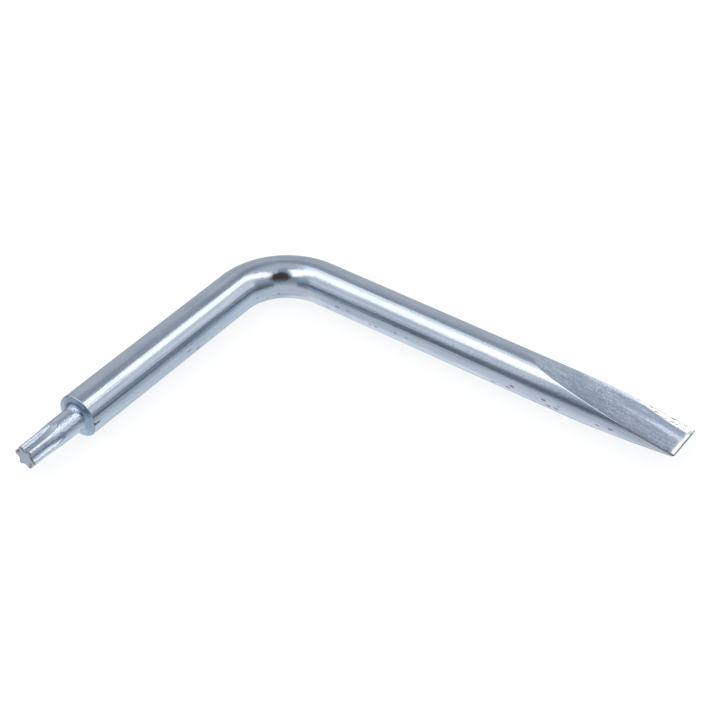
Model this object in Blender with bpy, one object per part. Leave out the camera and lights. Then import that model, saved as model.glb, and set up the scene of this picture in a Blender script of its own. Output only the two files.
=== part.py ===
"""L-shaped key: a bent steel bar with a six-lobe bit at one end and a flat screwdriver blade at the other.

The key lies flat. Its long leg runs along +X to the blade, and its short leg runs along -Y to the bit.
The origin is under the middle of the whole key, on the surface it lies on.
"""
import math

import bmesh
import bpy
from mathutils import Matrix, Vector

MM = 0.001

# Bent bar
BAR_DIAMETER = 9.0 * MM
LONG_LEG = 101.7 * MM  # outer side of the bend to the end of the blade
SHORT_LEG = 65.2 * MM  # outer side of the bend to the shoulder
BEND_RADIUS = 13.1 * MM  # to the middle of the bar
SHOULDER_EDGE = 0.3 * MM  # broken edge round the shoulder

# Flat blade
BLADE_LENGTH = 33.0 * MM
BLADE_TIP_THICKNESS = 0.65 * MM

# Seat of the bit in the short leg
SOCKET_WALL = 1.7 * MM
TANG_LENGTH = 12.0 * MM
TANG_CHAMFER = 0.4 * MM
SEAT_GAP = 0.3 * MM

# Six-lobe bit
LOBE_DIAMETER = 5.07 * MM  # across the lobes, and across the neck that they are cut from
FLUTE_DEPTH = 0.71 * MM
LOBE_ROUND = 0.42 * MM  # radius of a lobe's crest
LOBE_TURN = math.radians(53.0)  # from the plane of the key to the first lobe
ROOT_FILLET = 0.75 * MM
NECK_LENGTH = 4.6 * MM
FLUTE_RUNOUT = 4.6 * MM  # where the flutes rise out of the neck
FLUTE_LENGTH = 3.9 * MM  # where they are at full depth
END_CHAMFER = 0.25 * MM

# Finish
BAR_COLOUR = (0.56, 0.60, 0.67)
BAR_ROUGHNESS = 0.22
BIT_COLOUR = (0.54, 0.59, 0.68)
BIT_ROUGHNESS = 0.25

# Counts of lobes and facets
LOBES = 6
BAR_SIDES = 48
BEND_STEPS = 16
BORE_SIDES = 32
ARC_POINTS = 8  # on each lobe's crest and on each flute
FILLET_STEPS = 4
RUNOUT_STEPS = 6

QUARTER_TURN = math.radians(90.0)
SHARP_ANGLE = math.radians(30.0)

# Sizes that follow from the ones above
bar_radius = BAR_DIAMETER / 2
blade_end = LONG_LEG - bar_radius
shoulder = SHORT_LEG - bar_radius
bore_radius = bar_radius - SOCKET_WALL
bore_depth = TANG_LENGTH + SEAT_GAP
tang_radius = bore_radius - SEAT_GAP
neck_radius = LOBE_DIAMETER / 2
bit_reach = SEAT_GAP + ROOT_FILLET + NECK_LENGTH + FLUTE_RUNOUT + FLUTE_LENGTH


def clear_scene():
    """Remove every object that the scene starts with."""
    for item in list(bpy.data.objects):
        bpy.data.objects.remove(item)


def plated_steel(name, colour, roughness):
    """A bare metal with one colour and one roughness."""
    material = bpy.data.materials.new(name)
    material.use_nodes = True
    shader = material.node_tree.nodes["Principled BSDF"]
    shader.inputs["Base Color"].default_value = (*colour, 1.0)
    shader.inputs["Roughness"].default_value = roughness
    shader.inputs["Metallic"].default_value = 1.0
    return material


def new_object(name, bm, parent):
    """Turn a bmesh into an object under its parent, with every face pointing outwards."""
    bmesh.ops.recalc_face_normals(bm, faces=bm.faces)
    mesh = bpy.data.meshes.new(name)
    bm.to_mesh(mesh)
    bm.free()
    item = bpy.data.objects.new(name, mesh)
    bpy.context.scene.collection.objects.link(item)
    item.parent = parent
    return item


def finish(item, material):
    """Give a piece its material and smooth shading with crisp edges."""
    item.data.materials.append(material)
    item.data.shade_smooth()
    item.data.set_sharp_from_angle(angle=SHARP_ANGLE)


def cut(piece, cutter):
    """Take a hidden cutter's shape out of a piece."""
    cutter.hide_render = True
    cutter.display_type = 'WIRE'
    boolean = piece.modifiers.new(cutter.name, 'BOOLEAN')
    boolean.operation = 'DIFFERENCE'
    boolean.solver = 'EXACT'
    boolean.object = cutter


def ring_edges(verts):
    """The edges that join a set of vertices to one another."""
    ring = set(verts)
    return list({edge for vert in ring for edge in vert.link_edges if edge.other_vert(vert) in ring})


def edge_loop(bm, points):
    """A closed ring of edges through a list of points."""
    verts = [bm.verts.new(point) for point in points]
    return [bm.edges.new((verts[i - 1], verts[i])) for i in range(len(verts))]


def extruded(bm, edges, move, widen=1.0):
    """Extrude a ring of edges by a vector, widen it about its middle, and return the new ring."""
    result = bmesh.ops.extrude_edge_only(bm, edges=edges)
    verts = [part for part in result["geom"] if isinstance(part, bmesh.types.BMVert)]
    bmesh.ops.translate(bm, verts=verts, vec=move)
    middle = sum((vert.co for vert in verts), Vector()) / len(verts)
    bmesh.ops.scale(bm, verts=verts, vec=(widen,) * 3, space=Matrix.Translation(-middle))
    return ring_edges(verts)


def bent_bar():
    """Draw the round bar out of the shoulder, spin it round the bend and run it on to the blade's end."""
    bm = bmesh.new()
    rim_radius = bar_radius - SHOULDER_EDGE
    facing_out = Matrix.Translation((0, -shoulder, 0)) @ Matrix.Rotation(QUARTER_TURN, 4, 'X')
    rim = bmesh.ops.create_circle(bm, segments=BAR_SIDES, radius=rim_radius, matrix=facing_out)
    first = ring_edges(rim["verts"])
    full = extruded(bm, first, (0, SHOULDER_EDGE, 0), widen=bar_radius / rim_radius)
    straight = shoulder - SHOULDER_EDGE - BEND_RADIUS
    before_bend = extruded(bm, full, (0, straight, 0))
    turn = bmesh.ops.spin(bm, geom=before_bend, cent=(BEND_RADIUS, -BEND_RADIUS, 0), axis=(0, 0, 1),
                          angle=-QUARTER_TURN, steps=BEND_STEPS)
    after_bend = [part for part in turn["geom_last"] if isinstance(part, bmesh.types.BMEdge)]
    last = extruded(bm, after_bend, (blade_end - BEND_RADIUS, 0, 0))
    bmesh.ops.edgeloop_fill(bm, edges=first)
    bmesh.ops.edgeloop_fill(bm, edges=last)
    return bm


def blade_cutter(name, side, parent):
    """A wedge above (side 1) or below (side -1) the blade, from the bar's skin to the thin end."""
    over = BAR_DIAMETER
    start = blade_end - BLADE_LENGTH
    fall = (bar_radius - BLADE_TIP_THICKNESS / 2) / BLADE_LENGTH
    # The slope runs on past both ends of the blade, so that the wedge cuts cleanly through the bar.
    corners = [
        (start - over, bar_radius + over * fall),
        (blade_end + over, BLADE_TIP_THICKNESS / 2 - over * fall),
        (blade_end + over, bar_radius + over),
        (start - over, bar_radius + over),
    ]
    bm = bmesh.new()
    near = edge_loop(bm, [(x, -over, side * z) for x, z in corners])
    far = extruded(bm, near, (0, 2 * over, 0))
    bmesh.ops.edgeloop_fill(bm, edges=near)
    bmesh.ops.edgeloop_fill(bm, edges=far)
    return new_object(name, bm, parent)


def bore_cutter(name, parent):
    """The round hole in the shoulder that the bit's tang is pressed into."""
    over = BAR_DIAMETER
    length = bore_depth + over
    bm = bmesh.new()
    bmesh.ops.create_cone(bm, cap_ends=True, segments=BORE_SIDES, radius1=bore_radius, radius2=bore_radius,
                          depth=length)
    item = new_object(name, bm, parent)
    item.location = (0, bore_depth - length / 2 - shoulder, 0)
    item.rotation_euler = (QUARTER_TURN, 0, 0)
    return item


def arc(centre, radius, start, sweep):
    """Points along an arc, from its start angle on, without its last point."""
    angles = [start + sweep * i / ARC_POINTS for i in range(ARC_POINTS)]
    return [centre + radius * Vector((math.cos(a), math.sin(a))) for a in angles]


def six_lobe_outline():
    """Round crests joined by tangent hollow flutes, as flat points about the bit's axis."""
    crest_at = neck_radius - LOBE_ROUND
    floor = neck_radius - FLUTE_DEPTH
    half = math.pi / LOBES
    # A flute's circle touches the floor circle and both crests beside it.
    inset = LOBE_ROUND - floor
    flute_at = (crest_at ** 2 - inset ** 2) / (2 * inset + 2 * crest_at * math.cos(half))
    flute_radius = flute_at - floor
    # The line between the two centres gives the angle at which crest and flute meet.
    lean = math.atan2(flute_at * math.sin(half), flute_at * math.cos(half) - crest_at)
    hollow = lean - half
    points = []
    for lobe in range(LOBES):
        middle = LOBE_TURN + lobe * 2 * half
        valley = middle + half
        crest = crest_at * Vector((math.cos(middle), math.sin(middle)))
        flute = flute_at * Vector((math.cos(valley), math.sin(valley)))
        points += arc(crest, LOBE_ROUND, middle - lean, 2 * lean)
        points += arc(flute, flute_radius, valley + math.pi + hollow, -2 * hollow)
    return points


def bit_rings():
    """Rings of points from the foot of the tang to the end of the bit, each at its height."""
    outline = six_lobe_outline()
    directions = [point.normalized() for point in outline]

    def round_ring(height, radius):
        return [(*(way * radius), height) for way in directions]

    def lobed_ring(height, rise, inset=0.0):
        # Flutes that have risen by this much show only where they are still under the neck's skin.
        sizes = [min(neck_radius, point.length + rise) - inset for point in outline]
        return [(*(way * size), height) for way, size in zip(directions, sizes)]

    rings = [
        round_ring(-TANG_LENGTH, tang_radius - TANG_CHAMFER),
        round_ring(TANG_CHAMFER - TANG_LENGTH, tang_radius),
        round_ring(SEAT_GAP, tang_radius),
    ]
    for step in range(FILLET_STEPS + 1):
        angle = QUARTER_TURN * step / FILLET_STEPS
        flare = ROOT_FILLET * (1 - math.sin(angle))
        rings.append(round_ring(SEAT_GAP + ROOT_FILLET * (1 - math.cos(angle)), neck_radius + flare))
    neck_end = SEAT_GAP + ROOT_FILLET + NECK_LENGTH
    for step in range(RUNOUT_STEPS + 1):
        share = step / RUNOUT_STEPS
        rings.append(lobed_ring(neck_end + FLUTE_RUNOUT * share, FLUTE_DEPTH * (1 - share)))
    rings.append(lobed_ring(bit_reach - END_CHAMFER, 0.0))
    rings.append(lobed_ring(bit_reach, 0.0, inset=END_CHAMFER))
    return rings


def lobed_bit():
    """Skin the bit's rings into one closed body."""
    bm = bmesh.new()
    loops = [edge_loop(bm, ring) for ring in bit_rings()]
    for lower, upper in zip(loops, loops[1:]):
        bmesh.ops.bridge_loops(bm, edges=lower + upper)
    bmesh.ops.edgeloop_fill(bm, edges=loops[0])
    bmesh.ops.edgeloop_fill(bm, edges=loops[-1])
    return bm


def key_frame():
    """An empty where the middle lines of the two legs would cross, above the origin's surface."""
    empty = bpy.data.objects.new("key_corner", None)
    bpy.context.scene.collection.objects.link(empty)
    empty.location = (bar_radius - LONG_LEG / 2, (SHORT_LEG + bit_reach) / 2 - bar_radius, bar_radius)
    return empty


def main():
    clear_scene()
    corner = key_frame()

    shank = new_object("bent_shank", bent_bar(), corner)
    finish(shank, plated_steel("zinc_plated_bar", BAR_COLOUR, BAR_ROUGHNESS))
    cut(shank, blade_cutter("blade_top_cut", 1, corner))
    cut(shank, blade_cutter("blade_bottom_cut", -1, corner))
    cut(shank, bore_cutter("bit_bore", corner))

    bit = new_object("six_lobe_bit", lobed_bit(), corner)
    bit.location = (0, -shoulder, 0)
    bit.rotation_euler = (QUARTER_TURN, 0, 0)
    finish(bit, plated_steel("zinc_plated_lobes", BIT_COLOUR, BIT_ROUGHNESS))


main()
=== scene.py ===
# %% [markdown]
# # A bent key with a six-lobe bit and a flat blade
# The real key is one round steel bar. It is bent to a right angle, cut to a flat screwdriver blade at one
# end, fitted with a six-lobe bit at the other, and plated with bright zinc. The solids of both pieces are
# already packed as a frame. This lesson lays finer surfaces over them and gives these the zinc finish. The
# frame is loaded first, because the main sizes are read from it.

# %% Load the frame
import math

import bmesh
import bpy
import numpy as np
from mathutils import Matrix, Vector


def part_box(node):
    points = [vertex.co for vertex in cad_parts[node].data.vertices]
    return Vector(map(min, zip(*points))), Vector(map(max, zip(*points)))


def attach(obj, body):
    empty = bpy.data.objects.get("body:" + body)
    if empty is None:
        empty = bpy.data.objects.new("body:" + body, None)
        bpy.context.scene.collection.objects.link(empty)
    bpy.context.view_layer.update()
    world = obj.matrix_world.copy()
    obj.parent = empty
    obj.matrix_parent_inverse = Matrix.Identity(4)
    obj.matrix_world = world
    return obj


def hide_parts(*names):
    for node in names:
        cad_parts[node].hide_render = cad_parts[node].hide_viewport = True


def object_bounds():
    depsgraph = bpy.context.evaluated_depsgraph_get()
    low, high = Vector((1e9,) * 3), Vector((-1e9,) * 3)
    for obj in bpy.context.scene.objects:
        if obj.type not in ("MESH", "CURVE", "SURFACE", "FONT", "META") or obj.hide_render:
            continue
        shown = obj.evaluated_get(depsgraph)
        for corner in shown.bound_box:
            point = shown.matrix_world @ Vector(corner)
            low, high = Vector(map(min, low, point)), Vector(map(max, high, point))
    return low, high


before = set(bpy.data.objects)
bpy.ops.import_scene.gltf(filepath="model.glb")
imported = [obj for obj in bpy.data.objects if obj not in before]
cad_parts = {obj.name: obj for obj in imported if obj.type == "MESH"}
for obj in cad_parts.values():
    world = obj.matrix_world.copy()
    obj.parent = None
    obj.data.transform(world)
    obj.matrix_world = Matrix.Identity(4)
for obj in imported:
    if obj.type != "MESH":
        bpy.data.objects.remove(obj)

cad_low, cad_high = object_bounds()
print("nodes in the frame:", sorted(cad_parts))

# %% [markdown]
# ## Sizes of the bar and the bit
# A maker would measure the bar with callipers: how thick it is, and how far each leg runs from the corner
# where the middle lines of the two legs would cross. Those lengths could be typed in again, but reading
# them from the frame's boxes keeps the new surfaces and the solids together. Only the sizes that a box
# can't show, such as the bend's radius, are written here.

# %% Read the main sizes
MM = 0.001

bar_low, bar_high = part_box("bent_shank")
bit_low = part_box("six_lobe_bit")[0]
bar_radius = (bar_high.z - bar_low.z) / 2
corner = np.array([bar_low.x + bar_radius, bar_high.y - bar_radius, bar_low.z + bar_radius])
shoulder = corner[1] - bar_low.y
blade_end = bar_high.x - corner[0]
bit_reach = bar_low.y - bit_low.y

BEND_RADIUS = 13.1 * MM
short_straight = shoulder - BEND_RADIUS
bend_length = BEND_RADIUS * math.pi / 2
bar_length = short_straight + bend_length + blade_end - BEND_RADIUS

print(f"bar {bar_radius / MM * 2:.2f} mm thick, {bar_length / MM:.1f} mm along its middle line")

# %% [markdown]
# ## From a grid of points to a mesh
# Both pieces are closed round their axis and along it, so each is one grid of points: rows that follow one
# another along the bar, and columns round it. The last column joins the first. Where a row shrinks to a
# point or folds to a line, its points fall on one another, and merging them closes the end. Marks ride along
# with the points. "drawn" is a point's place on the bar as if it were still straight, so that a pattern can
# follow the steel round the bend. Other marks are numbers from 0 to 1, such as "flat" on the blade's flats.

# %% A helper that skins a grid
WELD = 1e-7
SHARP_ANGLE = math.radians(35.0)


def weld(mesh):
    """Merge points that lie on one another, which closes the ends of a grid."""
    bm = bmesh.new()
    bm.from_mesh(mesh)
    bmesh.ops.remove_doubles(bm, verts=bm.verts, dist=WELD)
    bm.to_mesh(mesh)
    bm.free()


def skin(name, points, drawn, marks):
    """Join each point to the next in its row and its column, with the last column joined to the first."""
    rows, columns = points.shape[:2]
    here = np.arange(rows * columns).reshape(rows, columns)
    beside = np.roll(here, -1, axis=1)
    quads = np.stack([here[:-1], here[1:], beside[1:], beside[:-1]], axis=-1)
    mesh = bpy.data.meshes.new(name)
    mesh.from_pydata(points.reshape(-1, 3).tolist(), [], quads.reshape(-1, 4).tolist())
    place = mesh.attributes.new("drawn", 'FLOAT_VECTOR', 'POINT')
    place.data.foreach_set("vector", drawn.ravel())
    for label, values in marks.items():
        mark = mesh.attributes.new(label, 'FLOAT', 'POINT')
        mark.data.foreach_set("value", values.ravel())
    weld(mesh)
    mesh.shade_smooth()
    mesh.set_sharp_from_angle(angle=SHARP_ANGLE)
    piece = bpy.data.objects.new(name, mesh)
    bpy.context.scene.collection.objects.link(piece)
    return piece


def report(piece):
    """Print a piece's faces, its open edges and its volume, which is positive if the faces point out."""
    bm = bmesh.new()
    bm.from_mesh(piece.data)
    open_edges = sum(not edge.is_manifold for edge in bm.edges)
    volume = bm.calc_volume(signed=True) / MM ** 3
    print(f"{piece.name}: {len(bm.faces)} faces, {open_edges} open edges, {volume:.0f} cubic mm")
    bm.free()


# %% [markdown]
# ## The bar's middle line
# The bar could be drawn as a curve with a round bevel, but its ends need more than a round section. So its
# middle line is a formula of one number, the distance from the shoulder: straight up the short leg, a
# quarter circle, then straight along the long leg. A section is carried along it with two more numbers, how
# far a point lies towards the inside of the bend and how far up.

# %% Carry sections along the middle line
def along_bar(distance, inward, upward):
    """Place section points along the bar.

    A straight stretch adds its length to one coordinate. In the bend, the point turns about the bend's
    centre at the bend radius less its inward part. The upward part is the height above the middle line.
    """
    turn = np.clip((distance - short_straight) / BEND_RADIUS, 0, math.pi / 2)
    before = np.minimum(distance, short_straight)
    after = np.maximum(distance - short_straight - bend_length, 0)
    swing = BEND_RADIUS - inward
    x = BEND_RADIUS - swing * np.cos(turn) + after
    y = before - shoulder + swing * np.sin(turn)
    return corner + np.stack([x, y, upward + 0 * x], axis=-1)


print(f"bend of {bend_length / MM:.1f} mm between straights of {short_straight / MM:.1f} mm and "
      f"{(blade_end - BEND_RADIUS) / MM:.1f} mm")

# %% [markdown]
# ## Sections of the bar and its blade
# Along most of its length the bar is round. Over the last 33 mm it is ground on two sides, so its section
# becomes a thin slice of the same circle: two round sides and two flats, with a small round where they
# meet. One quarter of the section is worked out and mirrored to the other three. Its columns are shared out
# between side, edge and flat, and just before the blade they gather at the top and bottom of the round bar,
# so that the flat can open out of one point.

# %% One ring of columns for every row
CROWN_WIDTH = 1.0 * MM
CROWN_DROP = 0.1 * MM
CROWN_START = 3  # a flat is crowned once it is this many crown widths from its middle to its edge
MOST_CROWN = 0.25  # share of the half height that the crown may take
MOST_ROUND = 0.8  # share of the rest that the rounding may take
SIDE_COLUMNS = 24
EDGE_COLUMNS = 5
FLAT_COLUMNS = 24
FLAT_CROWDING = 1.6  # above 1, columns lie closer together beside the edge

quarter_columns = SIDE_COLUMNS + EDGE_COLUMNS + FLAT_COLUMNS
side_share = np.arange(SIDE_COLUMNS) / SIDE_COLUMNS
edge_share = np.arange(EDGE_COLUMNS) / EDGE_COLUMNS
flat_share = np.linspace(0, 1, FLAT_COLUMNS + 1) ** FLAT_CROWDING


def round_quarter(radius, gather):
    """A quarter circle whose columns are evenly spread at gather 0 and crowd to the top at gather 1."""
    column = np.arange(quarter_columns + 1)
    even = column / quarter_columns
    crowded = np.minimum(column / SIDE_COLUMNS, 1)
    angle = (even + (crowded - even) * gather) * math.pi / 2
    return radius * np.cos(angle), radius * np.sin(angle)


def blade_quarter(radius, height, edge_round):
    """A quarter of the blade: an arc of the bar, a small arc, and a line at this height to the middle.

    The line falls off beside the edge, by a parabola, so the flat is a little crowned. The small arc lies
    inside the bar's circle and under the line's end and touches both, which puts its centre one rounding
    below the line and one rounding inside the circle.
    """
    half_width = np.sqrt(np.maximum(radius ** 2 - height ** 2, 0))
    crown_share = np.clip(half_width / CROWN_WIDTH - CROWN_START, 0, 1)
    crown = np.minimum(CROWN_DROP * crown_share, height * MOST_CROWN)
    rounding = np.minimum(edge_round, (height - crown) * MOST_ROUND)
    centre_up = height - crown - rounding
    centre_in = np.sqrt(np.maximum((radius - rounding) ** 2 - centre_up ** 2, 0))
    meeting = np.arctan2(centre_up, centre_in)
    side = meeting * side_share
    edge = meeting + (math.pi / 2 - meeting) * edge_share
    flat = centre_in * (1 - flat_share)
    beside_edge = np.maximum(1 - centre_in * flat_share / CROWN_WIDTH, 0)
    inward = np.hstack([radius * np.cos(side), centre_in + rounding * np.cos(edge), flat])
    crowned = height - crown * beside_edge ** 2
    upward = np.hstack([radius * np.sin(side), centre_up + rounding * np.sin(edge), crowned])
    return inward, upward


def mirrored(quarter, flip_inward, flip_upward):
    """Lay four quarters end to end round the ring, each the mirror image of the one before."""
    back = quarter[:, :0:-1]
    first = quarter[:, :-1]
    return np.hstack([first, back * flip_inward, first * flip_inward * flip_upward, back * flip_upward])


print(f"{4 * quarter_columns} columns round the bar")

# %% [markdown]
# ## The bar, row by row
# The rows start at the bottom of the hole that the bit sits in, come out of it over the shoulder and its
# broken edge, run up the short leg, round the bend and along the long leg to the blade's thin end. A round
# row has two numbers, its distance along the bar and its radius. A row of the blade also has a half height
# and a rounding for its edges.

# %% List the bar's rows
BORE_RADIUS = 2.8 * MM
BORE_DEPTH = 12.3 * MM
SHOULDER_EDGE = 0.2 * MM
BLADE_LENGTH = 33.0 * MM
BLADE_TIP_THICKNESS = 0.65 * MM
TIP_EDGE = 0.05 * MM
BEVEL_LENGTH = 0.75 * MM
BEVEL_DROP = 0.11 * MM
CORNER_ROUND = 0.5 * MM
GATHER_LENGTH = 12.0 * MM
ROUND_ROWS = 8  # on each quarter turn of an edge
LEG_ROWS = 12
BEND_ROWS = 49
GATHER_ROWS = 16
BLADE_ROWS = 65
BEVEL_ROWS = 10
BLADE_CROWDING = 1.3  # above 1, rows lie closer together where the flats begin
BEVEL_CROWDING = 1.5  # above 1, rows lie closer together towards the end

quarter_turn = np.linspace(0, math.pi / 2, ROUND_ROWS)
blade_start = bar_length - BLADE_LENGTH
face_edge = bar_radius - 1.5 * SHOULDER_EDGE

hole = np.array([(BORE_DEPTH, 0), (BORE_DEPTH, BORE_RADIUS), (0, BORE_RADIUS), (0, face_edge)])
rim = np.column_stack([SHOULDER_EDGE * (1 - np.cos(quarter_turn)),
                       bar_radius - SHOULDER_EDGE * (1 - np.sin(quarter_turn))])
short_leg = np.linspace(2 * SHOULDER_EDGE, short_straight, LEG_ROWS)
bend = np.linspace(short_straight, short_straight + bend_length, BEND_ROWS)[1:]
long_leg = np.linspace(short_straight + bend_length, blade_start - GATHER_LENGTH, LEG_ROWS)[1:]
gathering = np.linspace(blade_start - GATHER_LENGTH, blade_start, GATHER_ROWS)[1:]
blade_share = np.linspace(0, 1, BLADE_ROWS)[1:] ** BLADE_CROWDING
blade = blade_start + (BLADE_LENGTH - BEVEL_LENGTH) * blade_share
bevel_share = np.linspace(1, 0, BEVEL_ROWS) ** BEVEL_CROWDING
bevel = bar_length - TIP_EDGE - (BEVEL_LENGTH - 2 * TIP_EDGE) * bevel_share
tip = bar_length - TIP_EDGE * (1 - np.sin(quarter_turn[1:]))

round_rows = np.concatenate([short_leg, bend, long_leg, gathering])
round_distance = np.concatenate([hole[:, 0], rim[:, 0], round_rows])
round_radius = np.concatenate([hole[:, 1], rim[:, 1], np.full(len(round_rows), bar_radius)])
print(f"{len(round_distance)} round rows and {len(blade) + len(bevel) + len(tip) + 1} rows of the blade")

# %% [markdown]
# The blade's half height falls evenly from the bar's radius to half the thickness of its end, and faster
# over a short bevel there, which leaves a thin edge. Round that edge the whole outline draws in by the same
# small radius, and a larger one rounds the blade's two corners. The long edges are rounder where the flats
# begin, because the wheel comes off there gradually.

# %% Shape the blade
EDGE_ROUND = 0.2 * MM
START_ROUND = 1.0 * MM
START_LENGTH = 15.0 * MM

gather = np.clip((round_distance - blade_start + GATHER_LENGTH) / GATHER_LENGTH, 0, 1)
round_inward, round_upward = round_quarter(round_radius[:, None], gather[:, None])

blade_rows = np.concatenate([blade, bevel, tip])
to_end = bar_length - blade_rows
draw_in = np.concatenate([np.zeros(len(blade) + len(bevel)), TIP_EDGE * (1 - np.cos(quarter_turn[1:]))])
corner_in = CORNER_ROUND - np.sqrt(CORNER_ROUND ** 2 - np.maximum(CORNER_ROUND - to_end, 0) ** 2)
fall = 1 - to_end / BLADE_LENGTH
bevelled = np.maximum(BEVEL_LENGTH - to_end, 0) / BEVEL_LENGTH
flat_height = bar_radius + (BLADE_TIP_THICKNESS / 2 - bar_radius) * fall - draw_in
half_height = flat_height - BEVEL_DROP * bevelled
start_share = np.clip(1 - (blade_rows - blade_start) / START_LENGTH, 0, 1)
edge_round = EDGE_ROUND + (START_ROUND - EDGE_ROUND) * start_share
blade_inward, blade_upward = blade_quarter((bar_radius - corner_in - draw_in)[:, None], half_height[:, None],
                                           edge_round[:, None])
print(f"blade {BLADE_LENGTH / MM:.0f} mm long, {half_height[-1] / MM * 2:.2f} mm thick at its end face")

# %% [markdown]
# The upper flat isn't whole. Near its end a second pass of the wheel ground its outer half a little deeper,
# which left a low step along the flat, slightly bowed. And the outer corner is filed down a few degrees, to
# a facet that catches the light. The facet starts at the outer edge and widens towards the end along an arc.
# Beyond that arc, the flat drops by a share of the distance from it.

# %% Grind the outer half and file its corner
LANE_LENGTH = 16.0 * MM
LANE_DEPTH = 0.055 * MM
LANE_GROWTH = 1.5  # above 1, the lane is at full depth before its end
STEP_WIDTH = 1.7 * MM
STEP_BOW = 0.5 * MM
FACET_LENGTH = 14.0 * MM
FACET_WIDTH = 2.2 * MM
FACET_SLOPE = math.tan(math.radians(5.5))

ring_inward = mirrored(blade_inward, -1, 1)
ring_upward = mirrored(blade_upward, 1, -1)
upper = ring_upward > 0
bow = STEP_BOW * (1 - (2 * to_end / LANE_LENGTH - 1) ** 2)
into_lane = np.clip((-ring_inward - bow[:, None]) / STEP_WIDTH + 0.5, 0, 1) * upper
lane_share = np.clip(LANE_GROWTH * (1 - to_end / LANE_LENGTH), 0, 1)[:, None]
lane = into_lane ** 2 * (3 - 2 * into_lane) * lane_share
facet_width = FACET_WIDTH * (1 - (to_end / FACET_LENGTH) ** 2)
beyond = np.maximum(facet_width[:, None] - bar_radius - ring_inward, 0) * upper
lowered = flat_height[:, None] - LANE_DEPTH * lane - FACET_SLOPE * beyond
ring_upward = ring_upward * lowered / flat_height[:, None]
print(f"step {LANE_LENGTH / MM:.0f} mm long, facet {FACET_LENGTH / MM:.0f} by {FACET_WIDTH / MM:.1f} mm")

# %% [markdown]
# One last row folds the blade's outline to its middle line, which closes the bar. Marks tell the finish what
# was done to each part of the blade: where it was ground flat, where it was ground again, where the step
# between the two lies, how near a point of the flat lies to its edge, where it was filed to a bevel or a
# facet, and where use has worn the zinc off the thin end and the long edges.

# %% Mark the blade and make the bar
END_WEAR = 0.25 * MM
FACET_SOFT = 0.2 * MM
WEAR_START = 0.5  # where the long edges begin to be worn, as a share of the blade
WEAR_GROWTH = 0.2  # over what share of the blade the wear grows to its full

fold = mirrored(np.minimum(blade_inward[-1:], blade_inward[-1, SIDE_COLUMNS]), -1, 1)
inward = np.vstack([mirrored(round_inward, -1, 1), ring_inward, fold])
upward = np.vstack([mirrored(round_upward, 1, -1), ring_upward, 0 * fold])
distance = np.concatenate([round_distance, blade_rows, blade_rows[-1:]])[:, None] + 0 * inward

first_flat = SIDE_COLUMNS + EDGE_COLUMNS
on_flat = np.arange(quarter_columns + 1) >= first_flat
on_edge = np.zeros(quarter_columns + 1)
on_edge[SIDE_COLUMNS - 1:first_flat + 2] = 1  # with one column before the edge and two after it
edge_wear = np.clip((fall - WEAR_START) / WEAR_GROWTH, 0, 1)
end_wear = np.clip(1 - (to_end - TIP_EDGE) / END_WEAR, 0, 1)
beside_edge = np.clip(1 - (blade_inward[:, [first_flat]] - blade_inward) / CROWN_WIDTH, 0, 1) * on_flat
worn = np.maximum(np.outer(edge_wear, on_edge), end_wear[:, None])
filed = np.minimum(beyond / FACET_SOFT, 1) * mirrored(on_flat[None, :], 1, 1)
ground = mirrored(np.outer(to_end > BEVEL_LENGTH - WELD, on_flat), 1, 1)
bevelled_flat = mirrored(np.outer(to_end < BEVEL_LENGTH - WELD, on_flat), 1, 1)


def blade_mark(ring):
    """A mark on the blade's rows, nothing on the round rows, and the last row's value on the fold."""
    return np.vstack([np.zeros((len(round_distance), ring.shape[1])), ring, ring[-1:]])


marks = {
    "flat": blade_mark(ground * (1 - filed)),
    "lane": blade_mark(lane),
    "step": blade_mark(4 * into_lane * (1 - into_lane) * lane_share),
    "beside_edge": blade_mark(mirrored(beside_edge, 1, 1)),
    "filed": blade_mark(np.maximum(bevelled_flat, filed)),
    "worn": blade_mark(mirrored(worn, 1, 1)),
}
bar = skin("zinc_bar", along_bar(distance, inward, upward),
           np.stack([distance, inward, upward], axis=-1), marks)
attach(bar, "root")
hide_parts("bent_shank")
report(bar)

# %% [markdown]
# ## The six-lobe outline
# A six-lobe drive has six round crests with hollow flutes between them. Its outline is made of arcs only: a
# small arc about a centre under each crest, and a larger one about a centre outside each flute, which
# touches the two crests beside it. The distance from the axis is then a formula of the angle alone, so the
# outline could be traced with any number of columns.

# %% Distance from the axis by angle
LOBES = 6
LOBE_DIAMETER = 5.07 * MM
FLUTE_DEPTH = 0.71 * MM
LOBE_ROUND = 0.42 * MM
LOBE_TURN = math.radians(53.0)
BIT_COLUMNS = 288

neck_radius = LOBE_DIAMETER / 2
half_pitch = math.pi / LOBES
crest_at = neck_radius - LOBE_ROUND
flute_floor = neck_radius - FLUTE_DEPTH
inset = LOBE_ROUND - flute_floor
flute_at = (crest_at ** 2 - inset ** 2) / (2 * inset + 2 * crest_at * math.cos(half_pitch))
flute_round = flute_at - flute_floor
lean = math.atan2(flute_at * math.sin(half_pitch), flute_at * math.cos(half_pitch) - crest_at)
crest_ends = math.atan2(LOBE_ROUND * math.sin(lean), crest_at + LOBE_ROUND * math.cos(lean))


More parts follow.
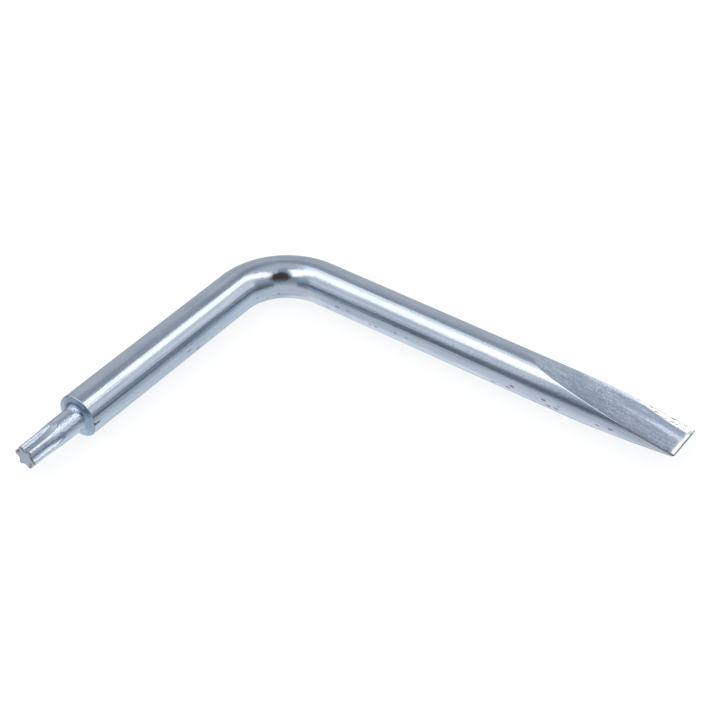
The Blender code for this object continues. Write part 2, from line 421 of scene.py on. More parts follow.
def lobed_outline(angle):
    """Distance from the axis to the outline: a crest circle's far side, or a flute circle's near side.

    A line from the axis meets a circle at the centre's distance times the cosine of the angle between them,
    plus or minus the root of what the circle's radius leaves after the sine part.
    """
    off_crest = np.abs((angle - LOBE_TURN + half_pitch) % (2 * half_pitch) - half_pitch)
    off_flute = half_pitch - off_crest
    crest_root = LOBE_ROUND ** 2 - (crest_at * np.sin(off_crest)) ** 2
    flute_root = flute_round ** 2 - (flute_at * np.sin(off_flute)) ** 2
    crest = crest_at * np.cos(off_crest) + np.sqrt(np.maximum(crest_root, 0))
    flute = flute_at * np.cos(off_flute) - np.sqrt(np.maximum(flute_root, 0))
    return np.where(off_crest < crest_ends, crest, flute)


bit_angle = np.arange(BIT_COLUMNS) * 2 * math.pi / BIT_COLUMNS
outline = lobed_outline(bit_angle)
print(f"outline from {outline.min() / MM:.2f} to {outline.max() / MM:.2f} mm off the axis")

# %% [markdown]
# ## The bit, row by row
# The bit's lobes are formed on the end of a round neck, so each flute runs out where its floor has risen to
# the neck's skin, in a long pointed arch. That shape needs no drawing: it is where the outline, raised a
# little more at each row, meets the neck. Taking the smaller of the two radii gives it, and taking it
# softly breaks the edge. The neck flares out in a fillet and a shallow cone, which covers the shoulder, and
# the tang fills the hole in the short leg.

# %% List the bit's rows, from its end to the foot of its tang
ROOT_FILLET = 1.4 * MM
CONE_LEAN = math.radians(14.0)
FLUTE_RUNOUT = 4.6 * MM
FLUTE_LENGTH = 3.9 * MM
END_ROUND = 0.25 * MM
SOFT_EDGE = 0.05 * MM
TANG_LENGTH = 12.0 * MM
FIT = 0.01 * MM  # what a press fit leaves between two pieces
FLUTE_ROWS = 10
RUNOUT_ROWS = 60
NECK_ROWS = 8
FILLET_ROWS = 16
CONE_ROWS = 4
RUNOUT_CURVE = 1.7  # above 1, the floor of a flute rises slowly at first
PAST = 1.1  # a little past the end of the run-out, or of the flare

end_rows = bit_reach - END_ROUND * (1 - np.cos(quarter_turn))
end_inset = END_ROUND * (1 - np.sin(quarter_turn))
runout_start = bit_reach - FLUTE_LENGTH
flute_rows = np.linspace(bit_reach - 1.5 * END_ROUND, runout_start, FLUTE_ROWS)
runout_rows = np.linspace(runout_start, runout_start - FLUTE_RUNOUT * PAST, RUNOUT_ROWS)[1:]
fillet_turn = np.linspace(0, math.pi / 2 - CONE_LEAN, FILLET_ROWS)
fillet = ROOT_FILLET * (1 - np.cos(fillet_turn))
cone_end = bar_radius - SHOULDER_EDGE - FIT - neck_radius
cone = np.linspace(fillet[-1], cone_end, CONE_ROWS)[1:]
cone_height = (cone_end - fillet[-1]) * math.tan(CONE_LEAN)
flare_height = FIT + cone_height + ROOT_FILLET * math.cos(CONE_LEAN)
fillet_rows = flare_height - ROOT_FILLET * np.sin(fillet_turn)
cone_rows = FIT + (cone_end - cone) * math.tan(CONE_LEAN)
flare_rows = np.concatenate([fillet_rows, cone_rows])
flare = np.concatenate([fillet, cone])
neck_rows = np.linspace(runout_rows[-1], flare_height * PAST, NECK_ROWS)[1:]

formed_rows = np.concatenate([end_rows, flute_rows, runout_rows, neck_rows, flare_rows])
grow = np.concatenate([-end_inset, np.zeros(len(formed_rows) - len(end_rows) - len(flare)), flare])
risen = np.maximum(runout_start - formed_rows, 0) / FLUTE_RUNOUT
rise = risen ** RUNOUT_CURVE * FLUTE_DEPTH
print(f"{len(formed_rows)} formed rows, reaching {bit_reach / MM:.2f} mm out of the shoulder")

# %% [markdown]
# The rows get their radii here. The softly smaller of two radii is the neck's radius plus half of this: the
# difference between the two, less the root of its square and a small square together. Two marks tell the
# finish how deep in a flute a point lies, and which points are on the rounded rim of the end.

# %% Build the bit
TANG_EDGE = 0.4 * MM

apart = outline + rise[:, None] - neck_radius
formed_radius = neck_radius + (apart - np.sqrt(apart ** 2 + SOFT_EDGE ** 2)) / 2 + grow[:, None]

tang_radius = BORE_RADIUS - FIT
tang_rows = np.array([FIT, TANG_EDGE - TANG_LENGTH, -TANG_LENGTH, -TANG_LENGTH])
tang_radii = np.array([tang_radius, tang_radius, tang_radius - TANG_EDGE, 0])

height = np.concatenate([[bit_reach], formed_rows, tang_rows])[:, None] + 0 * outline
radius = np.vstack([0 * outline, formed_radius, tang_radii[:, None] + 0 * outline])
flute = np.vstack([0 * outline, np.clip(-apart / FLUTE_DEPTH, 0, 1), 0 * tang_rows[:, None] + 0 * outline])
end_rim = np.isin(height, end_rows).astype(float)
end_rim[0] = 0
bit_inward = radius * np.cos(bit_angle)
bit_upward = radius * np.sin(bit_angle)
bit = skin("lobed_bit", along_bar(-height, bit_inward, bit_upward),
           np.stack([-height, bit_inward, bit_upward], axis=-1), {"flute": flute, "end_rim": end_rim})
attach(bit, "root")
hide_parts("six_lobe_bit")
report(bit)

# %% [markdown]
# ## Writing shaders as sums
# A material is a graph of nodes. Placing and linking each node by hand takes many lines, so two small
# classes do it. A graph adds any node from its type, its settings and what goes into its sockets. A value
# is one socket that takes part in Python sums: every plus or times adds the Math node that works it out.

# %% Two classes for shader graphs
class Value:
    """One socket of a shader graph. An operator on it adds a Math node and gives that node's socket."""

    def __init__(self, graph, socket):
        self.graph = graph
        self.socket = socket

    def math(self, operation, *others):
        return self.graph.node("ShaderNodeMath", {"operation": operation}, dict(enumerate((self, *others))))

    def __add__(self, other):
        return self.math('ADD', other)

    def __sub__(self, other):
        return self.math('SUBTRACT', other)

    def __rsub__(self, other):
        return self * -1 + other

    def __mul__(self, other):
        return self.math('MULTIPLY', other)

    def __truediv__(self, other):
        return self.math('DIVIDE', other)

    def __abs__(self):
        return self.math('ABSOLUTE')

    __radd__ = __add__
    __rmul__ = __mul__


class Graph:
    """Builds one node tree, which starts empty."""

    def __init__(self, tree):
        self.tree = tree
        tree.nodes.clear()

    def node(self, kind, settings=None, inputs=None, output=0):
        """Add a node: its settings first, then each input's value or link. Sockets go by name or number."""
        made = self.tree.nodes.new(kind)
        for name, value in (settings or {}).items():
            if name == "stops":
                self.set_stops(made.color_ramp, value)
            else:
                setattr(made, name, value)
        for name, value in (inputs or {}).items():
            socket = self.find(made.inputs, name)
            if isinstance(value, Value):
                self.tree.links.new(value.socket, socket)
            else:
                socket.default_value = value
        return Value(self, self.find(made.outputs, output)) if made.outputs else made

    @staticmethod
    def find(sockets, name):
        """A socket by its number, or the one in use by this name."""
        if isinstance(name, int):
            return sockets[name]
        return next(socket for socket in sockets if socket.name == name and socket.enabled)

    @staticmethod
    def set_stops(ramp, stops):
        """Give a ramp its stops, each a place and a colour."""
        while len(ramp.elements) < len(stops):
            ramp.elements.new(1.0)
        for element, (place, colour) in zip(ramp.elements, stops):
            element.position = place
            element.color = (*colour, 1.0)

    def step(self, value, start, end):
        """A smooth step from 0 at start to 1 at end."""
        return self.node("ShaderNodeMapRange", {"interpolation_type": 'SMOOTHSTEP'},
                         {"Value": value, "From Min": start, "From Max": end})

    def blend(self, share, first, second):
        """A colour between two colours."""
        return self.node("ShaderNodeMix", {"data_type": 'RGBA'}, {"Factor": share, "A": first, "B": second},
                         output="Result")

    def noise(self, vector, scale, detail=2.0):
        """Cloudy values about one half, with so many clouds to the metre along each direction."""
        stretched = self.node("ShaderNodeMapping", None, {"Vector": vector, "Scale": scale})
        return self.node("ShaderNodeTexNoise", None, {"Vector": stretched, "Scale": 1.0, "Detail": detail},
                         output="Fac")


print("shader classes ready")

# %% [markdown]
# ## Zinc over drawn steel
# Bright zinc is a pale, slightly blue metal. The steel was pulled through a die before it was bent, which
# leaves fine lines along it and a fine grain. They follow the bar round its bend, so the patterns read the
# "drawn" mark instead of the object's own coordinates. Their heights are written in millimetres, under a
# tenth of one, and a bump turns them into the small tilts that break up a reflection. One function gives
# the plain plating, and another ends every zinc material with the same metal shader.

# %% Plain plating
LINE_CLOUDS = (20, 1400, 1400)  # clouds to the metre: along the bar, inward and upward
STREAK_CLOUDS = (30, 800, 800)
TINT_CLOUDS = (150, 250, 250)
GRAIN_CLOUDS = (1500, 2500, 2500)
CRISP = 3.0  # how many finer sizes of cloud are added
STREAK_SHARE = 0.65
EDGE_TINT = (0.9, 0.92, 0.94, 1.0)


def new_graph(name):
    """A new material and a graph to fill it with."""
    material = bpy.data.materials.new(name)
    material.use_nodes = True
    return material, Graph(material.node_tree)


def mark_of(graph, label, output="Fac"):
    """A mark that the mesh carries."""
    return graph.node("ShaderNodeAttribute", {"attribute_name": label}, output=output)


def plating(graph, drawn, pale, deep, line_height, grain_height):
    """Colour and height of plated steel: streaks and clouds of two tints, lines along the bar, and grain."""
    lines = graph.noise(drawn, LINE_CLOUDS)
    streaks = graph.noise(drawn, STREAK_CLOUDS, CRISP)
    clouds = graph.noise(drawn, TINT_CLOUDS, CRISP)
    grain = graph.noise(drawn, GRAIN_CLOUDS)
    tone = clouds * (1 - STREAK_SHARE) + streaks * STREAK_SHARE
    colour = graph.blend(graph.step(tone, 0.38, 0.62), deep, pale)
    return colour, lines * line_height + grain * grain_height


def metal(graph, colour, roughness, height):
    """End a graph with a metal of this colour, roughness and height in metres."""
    bump = graph.node("ShaderNodeBump", None, {"Height": height, "Strength": 1.0, "Distance": 1.0},
                      output="Normal")
    shader = graph.node("ShaderNodeBsdfPrincipled", None, {
        "Base Color": colour, "Metallic": 1.0, "Roughness": roughness, "Normal": bump,
        "Specular Tint": EDGE_TINT})
    graph.node("ShaderNodeOutputMaterial", None, {"Surface": shader})
    print(f"{len(graph.tree.nodes)} nodes of zinc")


print(f"drawing lines about {1 / LINE_CLOUDS[1] / MM:.1f} mm apart")

# %% [markdown]
# ## The bit's zinc
# The bit is plated like the bar. Its lobes are painted paler, a painted highlight, and its flutes darker, a
# painted shade. Faces that were cut across the steel stay bluer, and the rim of the end is darker.
# Each tint could be a material of its own, but blends by distance and by mark leave no seams between them.

# %% Plate the bit
CUT_ZINC = (0.38, 0.49, 0.64, 1.0)  # on faces that were cut across the bar
BARE_STEEL = (0.24, 0.23, 0.235, 1.0)
BIT_PALE = (0.64, 0.71, 0.83, 1.0)
BIT_DEEP = (0.55, 0.62, 0.75, 1.0)
BIT_LINES = 0.01 * MM
BIT_GRAIN = 0.085 * MM
BIT_ROUGHNESS = 0.25
# painted highlight: the lobes are painted paler
LOBE_PAINTED_HIGHLIGHT = (0.85, 0.88, 0.94, 1.0)
LOBE_SHARE = 0.8  # how much of a tint shows, here and below
# painted shade: the flutes are painted darker
FLUTE_PAINTED_SHADE = (0.28, 0.36, 0.50, 1.0)
FLUTE_SHARE = 0.7
END_ZINC = (0.43, 0.50, 0.58, 1.0)
RIM_SHARE = 0.6


def part_of(graph, drawn, axis):
    """One part of the drawn mark: X is the distance along the bar, Y is inward and Z is upward."""
    return graph.node("ShaderNodeSeparateXYZ", None, {"Vector": drawn}, output=axis)


def bit_zinc():
    """Plain plating, with a painted highlight on the lobes, painted shade in the flutes, a darker rim round
    the end, and bluer at the foot.
    """
    material, graph = new_graph("zinc_on_lobes")
    drawn = mark_of(graph, "drawn", "Vector")
    along = part_of(graph, drawn, "X")
    colour, height = plating(graph, drawn, BIT_PALE, BIT_DEEP, BIT_LINES, BIT_GRAIN)
    end_face = 1 - graph.step(along, -bit_reach, END_ROUND * 0.5 - bit_reach)
    end_rim = graph.step(mark_of(graph, "end_rim"), 0.75, 1.0)
    foot = graph.step(along, flare_height * -0.7, flare_height * -0.4)
    lobed = 1 - graph.step(along, FLUTE_LENGTH - bit_reach, FLUTE_LENGTH + FLUTE_RUNOUT - bit_reach)
    # painted highlight on the lobes, then painted shade in the flutes
    colour = graph.blend(lobed * LOBE_SHARE, colour, LOBE_PAINTED_HIGHLIGHT)
    colour = graph.blend(mark_of(graph, "flute") * FLUTE_SHARE, colour, FLUTE_PAINTED_SHADE)
    colour = graph.blend(end_face, colour, END_ZINC)
    # a darker rim round the end
    colour = graph.blend(end_rim * RIM_SHARE, colour, BARE_STEEL)
    colour = graph.blend(foot, colour, CUT_ZINC)
    metal(graph, colour, lobed * 0.1 + BIT_ROUGHNESS, height * (1 - foot * 0.7))
    return material


bit.data.materials.append(bit_zinc())

# %% [markdown]
# ## Pits and marks of handling
# The bar isn't perfect: the photograph shows small dark pits along its lower side, a short lap beside the
# shoulder, and fine wrinkles inside the bend, where the steel was pressed together. Pits are scattered by
# dividing space into cells and keeping the point in some of them. Cells longer than wide give long pits.

# %% Scatter pits
PIT_CELL = (2.8 * MM, 1.3 * MM, 1.3 * MM)
PIT_RADIUS = 0.28
PIT_CHANCE = 0.8
PIT_SHARE = 0.75
PIT_FADE = 0.4 * MM  # on either side of the middle
GROUP_CLOUDS = (70, 300, 300)


def inside(graph, value, start, end, soft):
    """1 between start and end, and 0 from so much beyond them."""
    return graph.step(value, start - soft, start) * (1 - graph.step(value, end, end + soft))


def spots(graph, drawn, cell, radius, chance):
    """Round spots in a share of all cells, the chance. Their radius is a part of the cell's size."""
    scale = [1 / side for side in cell]
    stretched = graph.node("ShaderNodeMapping", None, {"Vector": drawn, "Scale": scale})
    cells = {"Vector": stretched, "Scale": 1.0}
    nearness = graph.node("ShaderNodeTexVoronoi", None, cells, output="Distance")
    colour = graph.node("ShaderNodeTexVoronoi", None, cells, output="Color")
    lot = graph.node("ShaderNodeSeparateColor", None, {"Color": colour}, output="Red")
    return (1 - graph.step(nearness, radius * 0.5, radius)) * graph.step(lot, 0.98 - chance, 1.0 - chance)


def pitted(graph, drawn):
    """How dark each point is from pits, which lie in groups on the lower half of the bar."""
    lower = 1 - graph.step(part_of(graph, drawn, "Z"), -PIT_FADE, PIT_FADE)
    grouped = graph.step(graph.noise(drawn, GROUP_CLOUDS, 1.0), 0.45, 0.55)
    return spots(graph, drawn, PIT_CELL, PIT_RADIUS, PIT_CHANCE) * grouped * lower * PIT_SHARE


print(f"pits in cells of {PIT_CELL[0] / MM:.1f} by {PIT_CELL[1] / MM:.1f} mm")

# %% [markdown]
# The lap looks like a thin tongue of steel, folded over when the shoulder was cut. It starts at the
# shoulder, on the inner side just above the middle, and narrows and fades along the bar. The wrinkles only
# need to know how near a point lies to the inside of the bend.

# %% Place the lap and the wrinkles
LAP_START = 0.1 * MM
LAP_END = 1.2 * MM
LAP_FADE = 0.8 * MM
LAP_BOTTOM = 0.1 * MM
LAP_TOP = 0.5 * MM
LAP_TAPER = 0.2  # how much its top falls for each step along the bar
LAP_SOFT = 0.2 * MM
LAP_SHARE = 0.85
SIDE_FADE = 1.0 * MM  # over which the inner or the outer side begins
PRESS_INSET = 4.0 * MM
PRESS_FADE = 3.0 * MM


def lapped(graph, drawn):
    """How dark each point is from the lap beside the shoulder."""
    along = part_of(graph, drawn, "X")
    above = part_of(graph, drawn, "Z")
    length = inside(graph, along, LAP_START, LAP_END, LAP_FADE)
    width = inside(graph, above, LAP_BOTTOM, LAP_TOP - along * LAP_TAPER, LAP_SOFT)
    return length * width * graph.step(part_of(graph, drawn, "Y"), 0, SIDE_FADE) * LAP_SHARE


def pressed_bend(graph, drawn):
    """How strongly each point inside the bend was pressed together, from 0 to 1."""
    bend_start = short_straight + PRESS_INSET
    bend_end = short_straight + bend_length - PRESS_INSET
    in_bend = inside(graph, part_of(graph, drawn, "X"), bend_start, bend_end, PRESS_FADE)
    return in_bend * graph.step(part_of(graph, drawn, "Y"), 0, PRESS_FADE)


print(f"lap {(LAP_END - LAP_START) / MM:.1f} mm long, with {LAP_FADE / MM:.1f} mm of fading")

# %% [markdown]
# ## The blade's ground flats
# The flats were ground by hand before plating, so they are cloudy and rougher than the round bar. The lane
# that was ground twice is smoother and bluer. Painted highlights lie on the low step beside it and on the
# edge on the outer side of the bend, and bright flecks are painted glints, most of them in one stretch. The
# flats are also painted paler towards their outer side, a painted reflection, and paler near their start and
# end. One pattern could cover the whole blade, but each of these follows a mark of its own, so that the
# tints end where the shapes do.

# %% Finish of the flats
MOTTLE_CLOUDS = (2000, 2600, 2600)
HAZE_CLOUDS = (500, 900, 900)
PATCH_CLOUDS = (150, 300, 300)
FLECK_CELL = (0.7 * MM, 0.6 * MM, 0.6 * MM)
FLECK_RADIUS = 0.4
FLECK_CHANCE = 0.7
FLECK_PAINTED_GLINT = (0.85, 0.93, 1.0, 1.0)
FLAT_DEEP = (0.42, 0.49, 0.61, 1.0)
FLAT_PALE = (0.68, 0.75, 0.86, 1.0)
LANE_ZINC = (0.46, 0.54, 0.70, 1.0)
LANE_SHARE = 0.8
STEP_PAINTED_HIGHLIGHT = (0.82, 0.89, 1.0, 1.0)
STEP_SHARE = 0.7
EDGE_PAINTED_HIGHLIGHT = (0.97, 0.98, 1.0, 1.0)
NEAR_START_LENGTH = 15.0 * MM
NEAR_END_LENGTH = 16.0 * MM  # the flats pale, and the outer edge's painted highlight starts, this far off the blade's end
NEAR_END_FULL = 5.0 * MM  # and fully from here on
GLINT_STRETCH_START = bar_length - 20.0 * MM
GLINT_STRETCH_END = bar_length - 16.0 * MM
GLINT_STRETCH_FADE = 2.0 * MM
GLINT_STRETCH_LEAST = 0.2  # share of the flecks elsewhere on the flats
# painted reflection: the flats are painted paler towards their outer side
PALER_OUTWARD = 35  # to the metre
MOTTLE_HEIGHT = 0.014 * MM


def ground_colour(graph, drawn, mottle, lane, step):
    """Two tints in three sizes of cloud, painted paler outward, and over them painted glints as flecks, the
    lane, and painted highlights on the step and the outer edge.
    """
    along = part_of(graph, drawn, "X")
    inner = part_of(graph, drawn, "Y")
    haze = graph.noise(drawn, HAZE_CLOUDS)
    patches = graph.noise(drawn, PATCH_CLOUDS, 1.0)
    near_start = 1 - graph.step(along, blade_start, blade_start + NEAR_START_LENGTH)
    near_end = graph.step(along, bar_length - NEAR_END_LENGTH, bar_length - NEAR_END_FULL)
    clouds = mottle * 0.4 + haze * 0.3 + patches * 0.3
    # painted reflection, paler towards the outer side, and paler near the start and the end
    shade = clouds + near_start * 0.1 + near_end * 0.05 - inner * PALER_OUTWARD
    glint_stretch = inside(graph, along, GLINT_STRETCH_START, GLINT_STRETCH_END, GLINT_STRETCH_FADE) * (1 - GLINT_STRETCH_LEAST) + GLINT_STRETCH_LEAST
    flecks = spots(graph, drawn, FLECK_CELL, FLECK_RADIUS, FLECK_CHANCE) * graph.step(patches, 0.4, 0.5)
    edge_highlight = graph.step(mark_of(graph, "beside_edge"), 0.1, 0.6) * graph.step(inner * -1, 0, SIDE_FADE)
    colour = graph.blend(graph.step(shade, 0.25, 0.75), FLAT_DEEP, FLAT_PALE)
    # painted glints: bright flecks, most of them in one stretch
    colour = graph.blend(flecks * glint_stretch, colour, FLECK_PAINTED_GLINT)
    colour = graph.blend(lane * LANE_SHARE, colour, LANE_ZINC)
    # painted highlight on the step, which also catches real light
    colour = graph.blend(step * STEP_SHARE, colour, STEP_PAINTED_HIGHLIGHT)
    # painted highlight on the outer edge
    return graph.blend(edge_highlight * near_end, colour, EDGE_PAINTED_HIGHLIGHT)


def ground_finish(graph, drawn):
    """Colour, roughness and height of a ground flat, which is smoother in the lane and on the step."""
    mottle = graph.noise(drawn, MOTTLE_CLOUDS)
    lane = mark_of(graph, "lane")
    step = mark_of(graph, "step")
    colour = ground_colour(graph, drawn, mottle, lane, step)
    height = mottle * (1 - lane * 0.7) * (1 - step * 0.7) * MOTTLE_HEIGHT
    return colour, mottle * 0.15 + 0.15, height


print(f"mottling about {1 / MOTTLE_CLOUDS[0] / MM:.1f} mm long on the flats")

# %% [markdown]
# ## The bar's zinc
# The bar's material puts all of this together. It starts from the plain plating and lays one finish over
# another, each where its mark says: the cut shoulder, the flats, pits and lap, the filed bevel and facet
# painted bright as filed metal with a painted highlight, nicks in that facet, and last the edges that are
# worn to bare steel, the outer one in chips alone.

# %% Plate the bar
BAR_PALE = (0.61, 0.675, 0.775, 1.0)
BAR_DEEP = (0.50, 0.565, 0.675, 1.0)
BAR_LINES = 0.04 * MM
BAR_GRAIN = 0.017 * MM
BAR_ROUGHNESS = 0.14
PIT_DARK = (0.13, 0.115, 0.12, 1.0)
PIT_DEPTH = 0.03 * MM
FILED_METAL_AND_HIGHLIGHT = (0.9, 0.92, 0.95, 1.0)
FILED_SHARE = 0.8
NICK_CLOUDS = (900, 2200, 2200)
CHIP_CLOUDS = (900, 900, 900)
OUTER_EDGE = 3.0 * MM
OUTER_FADE = 0.4 * MM
WRINKLE_CLOUDS = (900, 200, 200)
WRINKLE_HEIGHT = 0.03 * MM


def facet_nicks(graph, along, drawn):
    """Small nicks in what was filed, as far as the bevel."""
    before_bevel = 1 - graph.step(along, bar_length - 2.5 * BEVEL_LENGTH, bar_length - 1.2 * BEVEL_LENGTH)
    return before_bevel * graph.step(graph.noise(drawn, NICK_CLOUDS), 0.56, 0.6)


def worn_edges(graph, drawn):
    """Where the zinc is worn off. On the outer edge that is only so in chips."""
    outer = graph.step(part_of(graph, drawn, "Y") * -1, OUTER_EDGE, OUTER_EDGE + OUTER_FADE)
    chips = graph.step(graph.noise(drawn, CHIP_CLOUDS), 0.52, 0.58)
    return mark_of(graph, "worn") * (1 - outer * (1 - chips))


def bar_zinc():
    """Plain plating, with the ground finish on the flats, a bevel and facet painted bright as filed metal
    with a painted highlight, pits and bare edges.
    """
    material, graph = new_graph("zinc_on_drawn_bar")
    drawn = mark_of(graph, "drawn", "Vector")
    along = part_of(graph, drawn, "X")
    flat = mark_of(graph, "flat")
    filed = mark_of(graph, "filed")
    worn = worn_edges(graph, drawn)
    dark = pitted(graph, drawn) + lapped(graph, drawn)
    pressed = pressed_bend(graph, drawn)
    wrinkles = graph.noise(drawn, WRINKLE_CLOUDS, 0.0) * WRINKLE_HEIGHT
    cut_face = 1 - graph.step(along, 0, SHOULDER_EDGE * 0.5)
    colour, height = plating(graph, drawn, BAR_PALE, BAR_DEEP, BAR_LINES, BAR_GRAIN)
    flat_colour, flat_roughness, flat_relief = ground_finish(graph, drawn)
    colour = graph.blend(cut_face, colour, CUT_ZINC)
    colour = graph.blend(flat, colour, flat_colour)
    colour = graph.blend(dark * (1 - flat), colour, PIT_DARK)
    # bevel and facet painted near white: filed metal with a painted highlight
    colour = graph.blend(filed * FILED_SHARE, colour, FILED_METAL_AND_HIGHLIGHT)
    colour = graph.blend(filed * facet_nicks(graph, along, drawn), colour, BARE_STEEL)
    colour = graph.blend(worn, colour, BARE_STEEL)
    roughness = BAR_ROUGHNESS + flat * (flat_roughness - BAR_ROUGHNESS)
    roughness = roughness + dark * 0.2 + worn * 0.15 + cut_face * 0.2
    height = height * (1 - pressed * 0.8) * (1 - filed) + wrinkles * pressed - dark * PIT_DEPTH
    metal(graph, colour, roughness, height + flat * flat_relief)
    return material


bar.data.materials.append(bar_zinc())

# %% [markdown]
# ## The camera
# The photograph looks down on the key from the open side of its angle, about 40 degrees above the table,
# from quite near, so the lens matters as well as the direction. The camera stands back from a point near
# the middle of the key along that direction.

# %% Place the camera
AZIMUTH = math.radians(35.73)
ELEVATION = math.radians(39.91)
DISTANCE = 357.0 * MM
SENSOR = 36.0  # width in mm, as is the lens
LENS = 83.95
NEAREST = 10.0 * MM  # nothing nearer is drawn
RIGHT_OF_CORNER = 18.26 * MM
BELOW_CORNER = 20.88 * MM

to_camera = np.array([math.sin(AZIMUTH) * math.cos(ELEVATION), -math.cos(AZIMUTH) * math.cos(ELEVATION),
                      math.sin(ELEVATION)])
to_right = np.array([math.cos(AZIMUTH), math.sin(AZIMUTH), 0.0])
to_top = np.cross(to_camera, to_right)
aim = corner + to_right * RIGHT_OF_CORNER - to_top * BELOW_CORNER

camera_data = bpy.data.cameras.new("camera")
camera_data.sensor_width = SENSOR
camera_data.lens = LENS
camera_data.clip_start = NEAREST
camera = bpy.data.objects.new("camera", camera_data)
bpy.context.scene.collection.objects.link(camera)
camera.location = aim + to_camera * DISTANCE
camera.rotation_euler = (math.pi / 2 - ELEVATION, 0, AZIMUTH)
bpy.context.scene.camera = camera
print("camera at", [round(value, 4) for value in camera.location])

# %% [markdown]
# ## The light tent
# A shiny bar shows its surroundings more than its own colour. By its reflections in the photograph, it lies
# in a light tent: a pale table below, a dark gap at the height of the table's edge, a plain grey backdrop
# behind, two bright soft panels high up at the left and right, a bright slit between the backdrop and the
# wall on its right, and the dark opening that the camera looks through. All of this could be built from
# planes and lamps, but the world shader can paint it by direction, and then nothing stands in the way of a
# look from another side. A direction has two angles here, both in degrees: how far it is turned from the
# backdrop, and its height over the horizon.

# %% Directions in the tent
BACKDROP = -36.0  # azimuth of the middle of the backdrop
DEGREES = 180 / math.pi

world = bpy.data.worlds.new("light_tent")
world.use_nodes = True
bpy.context.scene.world = world
tent = Graph(world.node_tree)
ray = tent.node("ShaderNodeTexCoord", None, None, output="Generated")


def direction_of(azimuth, elevation):
    """The unit vector at an azimuth, clockwise from +Y, and an elevation, both in degrees."""
    turn = math.radians(azimuth)
    lift = math.radians(elevation)
    return (math.sin(turn) * math.cos(lift), math.cos(turn) * math.cos(lift), math.sin(lift))


def towards(direction):
    """The cosine of the angle between the light's direction and this one."""
    return tent.node("ShaderNodeVectorMath", {"operation": 'DOT_PRODUCT'}, {0: ray, 1: direction},
                     output="Value")


def turned_from(azimuth):
    """How far the light's direction is turned clockwise from an azimuth, from -180 to 180 degrees."""
    beside = towards(direction_of(azimuth + 90, 0))
    ahead = towards(direction_of(azimuth, 0))
    return beside.math('ARCTAN2', ahead) * DEGREES


turned = turned_from(BACKDROP)
lifted = towards((0, 0, 1)).math('ARCSINE') * DEGREES
print("backdrop towards", [round(part, 2) for part in direction_of(BACKDROP, 0)])

# %% [markdown]
# Each wall of the tent has its own brightness by height, a ramp from straight down to straight up. Below the
# horizon it is the table, and two of the ramps dip at the horizon, where the dark gap is. A ramp for every
# direction would be hard to read, so there are four, and smooth steps lead from one wall to the next.

# %% Brightness of the walls
def by_height(stops):
    """Brightness by elevation in degrees, from straight down to straight up."""
    placed = [((degrees + 90) / 180, (level,) * 3) for degrees, level in stops]
    return tent.node("ShaderNodeValToRGB", {"stops": placed}, {"Fac": (lifted + 90) / 180}, output="Color")


def between(share, first, second):
    """A brightness between two brightnesses."""
    return first + (second - first) * share


back_wall = by_height([(-60, 0.78), (-42, 0.74), (-20, 0.60), (38, 0.60), (50, 0.41), (58, 0.41), (76, 0.60),
                       (90, 0.66)])
side_wall = by_height([(-60, 0.84), (-45, 0.83), (-28, 0.75), (-15, 0.53), (-7, 0.20), (0, 0.17), (9, 0.36),
                       (23, 0.93), (28, 1.03), (35, 0.80), (60, 0.70), (90, 0.66)])
front_wall = by_height([(-60, 0.74), (-28, 0.72), (-15, 0.48), (-7, 0.21), (3, 0.20), (15, 0.33), (33, 0.54),
                        (44, 0.80), (60, 0.70), (90, 0.66)])
near_wall = by_height([(-60, 0.72), (-16, 0.71), (-4, 0.52), (12, 0.34), (72, 0.36), (90, 0.66)])

walls = between(tent.step(abs(turned - 4), 24, 44), back_wall, side_wall)
walls = between(tent.step(abs(turned + 8.5), 106, 118), walls, front_wall)
walls = between(tent.step(abs(turned), 142, 158), walls, near_wall)
print("four walls")

# %% [markdown]
# The two panels, the slit and a brighter stretch of table are windows in both angles, laid over the walls
# one after another. The opening is an ellipse, and a little light gets in at its foot.

# %% Panels and opening
LEFT_TABLE = 0.2  # how much more light the table shows on the left
RIGHT_PANEL = 1.95
LEFT_PANEL = 1.95
SLIT = 1.5
OPENING = 133.0  # azimuth of the middle of the opening
OPENING_HEIGHT = 34.0  # elevation of its middle
HALF_WIDTH = 26.0
HALF_HEIGHT = 29.0
DARK = 0.05
DIM = 0.25  # at the foot of the opening


def window(value, start, full, fade, end):
    """1 from full to fade, and a smooth fall to 0 at start and at end."""
    return tent.step(value, start, full) * (1 - tent.step(value, fade, end))


left_table = window(turned * -1, 0, 40, 80, 106) * tent.step(lifted * -1, 24, 45)
right_panel = window(turned, 30, 50, 130, 148) * window(lifted + abs(turned - 97) * 0.15, 44, 55, 59, 73)
lower_near = tent.step(turned * -1, 120, 160) * 12
left_panel = window(turned * -1, 14, 84, 156, 168) * tent.step(lifted + lower_near, 43, 56)
left_panel = left_panel * (1 - tent.step(lifted, 63, 80))
slit = window(turned, 21, 24, 32, 36) * window(lifted, -25, -15, 36, 40)
lit = between(right_panel, walls + left_table * LEFT_TABLE, RIGHT_PANEL)
lit = between(left_panel, lit, LEFT_PANEL)
lit = between(slit, lit, SLIT)
across = turned_from(OPENING) / HALF_WIDTH
upright = (lifted - OPENING_HEIGHT) / HALF_HEIGHT
opening = 1 - tent.step(across * across + upright * upright, 0.7, 1.2)
unlit = tent.step(lifted, 5, 30)
level = between(opening, lit, between(unlit, DIM, DARK))
print(f"opening {2 * HALF_WIDTH:.0f} by {2 * HALF_HEIGHT:.0f} degrees")

# %% [markdown]
# The tent isn't quite neutral: its dark parts look blue, the table on the right a little blue, and the room
# behind the opening brown. The camera sees plain white in its place, so that the key stands on a white page.

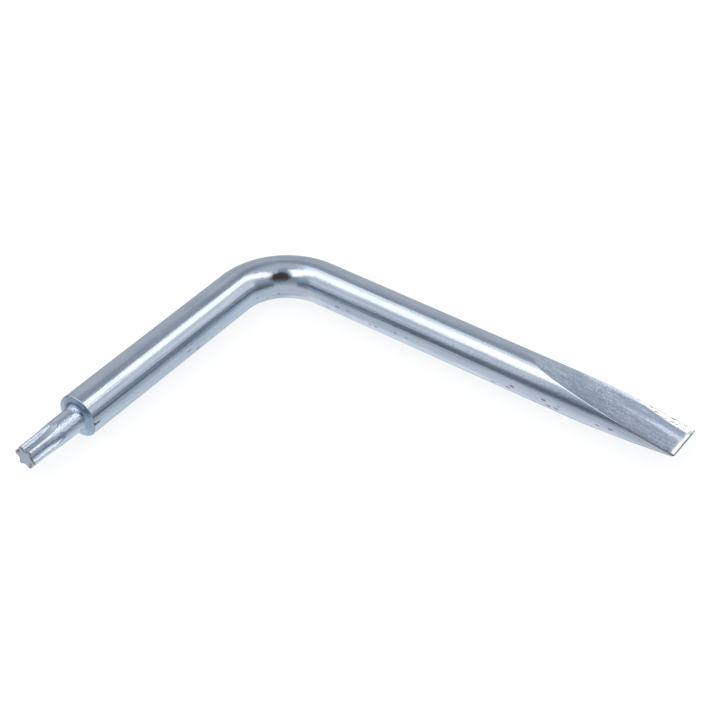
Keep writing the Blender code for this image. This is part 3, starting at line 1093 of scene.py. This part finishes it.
# %% Tint the tent and hang it
SLATE = (0.87, 1.02, 1.20, 1.0)
PALE = (0.97, 0.99, 1.01, 1.0)
BLUISH = (0.93, 1.01, 1.045, 1.0)
BROWNISH = (1.25, 1.0, 0.95, 1.0)
WHITE = (1.0, 1.0, 1.0, 1.0)

tint = tent.blend(tent.step(level, 0.15, 0.7), SLATE, PALE)
tint = tent.blend(tent.step(lifted * -1, 8, 24) * tent.step(turned, -60, 40), tint, BLUISH)
tint = tent.blend(opening * unlit, tint, BROWNISH)
surroundings = tent.node("ShaderNodeVectorMath", {"operation": 'SCALE'}, {0: tint, "Scale": level})

seen = tent.node("ShaderNodeLightPath", None, None, output="Is Camera Ray")
tent_light = tent.node("ShaderNodeBackground", None, {"Color": surroundings, "Strength": 1.0})
white = tent.node("ShaderNodeBackground", None, {"Color": WHITE, "Strength": 1.0})
sky = tent.node("ShaderNodeMixShader", None, {0: seen, 1: tent_light, 2: white})
tent.node("ShaderNodeOutputWorld", None, {"Surface": sky})
print(f"light tent: {len(world.node_tree.nodes)} nodes")

# %% [markdown]
# ## The floor
# The table under the key is white without any edge. A large plane just under the key takes its soft shadow,
# and shows mostly its own white to the camera, so that it joins the white beyond it. Reflections of the
# table are already painted in the tent, so the plane stays out of them.

# %% Lay the floor
FLOOR_SIZE = 4.0
FLOOR_WHITE = 0.75  # share of its own white in what the camera sees of it
FLOOR_GLOW = 1.13
FLOOR_PAINT = (0.9, 0.9, 0.9, 1.0)
FLOOR_GAP = 0.02 * MM  # under the key

reach = FLOOR_SIZE / 2
floor_mesh = bpy.data.meshes.new("floor")
floor_mesh.from_pydata([(-reach, -reach, 0), (reach, -reach, 0), (reach, reach, 0), (-reach, reach, 0)], [],
                       [(0, 1, 2, 3)])
floor = bpy.data.objects.new("floor", floor_mesh)
bpy.context.scene.collection.objects.link(floor)
floor.location.z = cad_low.z - FLOOR_GAP
floor.visible_glossy = False

floor_material = bpy.data.materials.new("white_table")
floor_material.use_nodes = True
table = Graph(floor_material.node_tree)
glow = table.node("ShaderNodeEmission", None, {"Color": WHITE, "Strength": FLOOR_GLOW})
matt = table.node("ShaderNodeBsdfDiffuse", None, {"Color": FLOOR_PAINT})
camera_ray = table.node("ShaderNodeLightPath", None, None, output="Is Camera Ray")
surface = table.node("ShaderNodeMixShader", None, {0: camera_ray * FLOOR_WHITE, 1: matt, 2: glow})
table.node("ShaderNodeOutputMaterial", None, {"Surface": surface})
floor_mesh.materials.append(floor_material)
print(f"floor {FLOOR_SIZE:.0f} m wide")

# %% [markdown]
# ## The view transform
# Colours are shown as they are written, with the Standard view transform. The new
# surfaces must stay in the box of the solids.

# %% Set the view transform
bpy.context.scene.view_settings.view_transform = 'Standard'
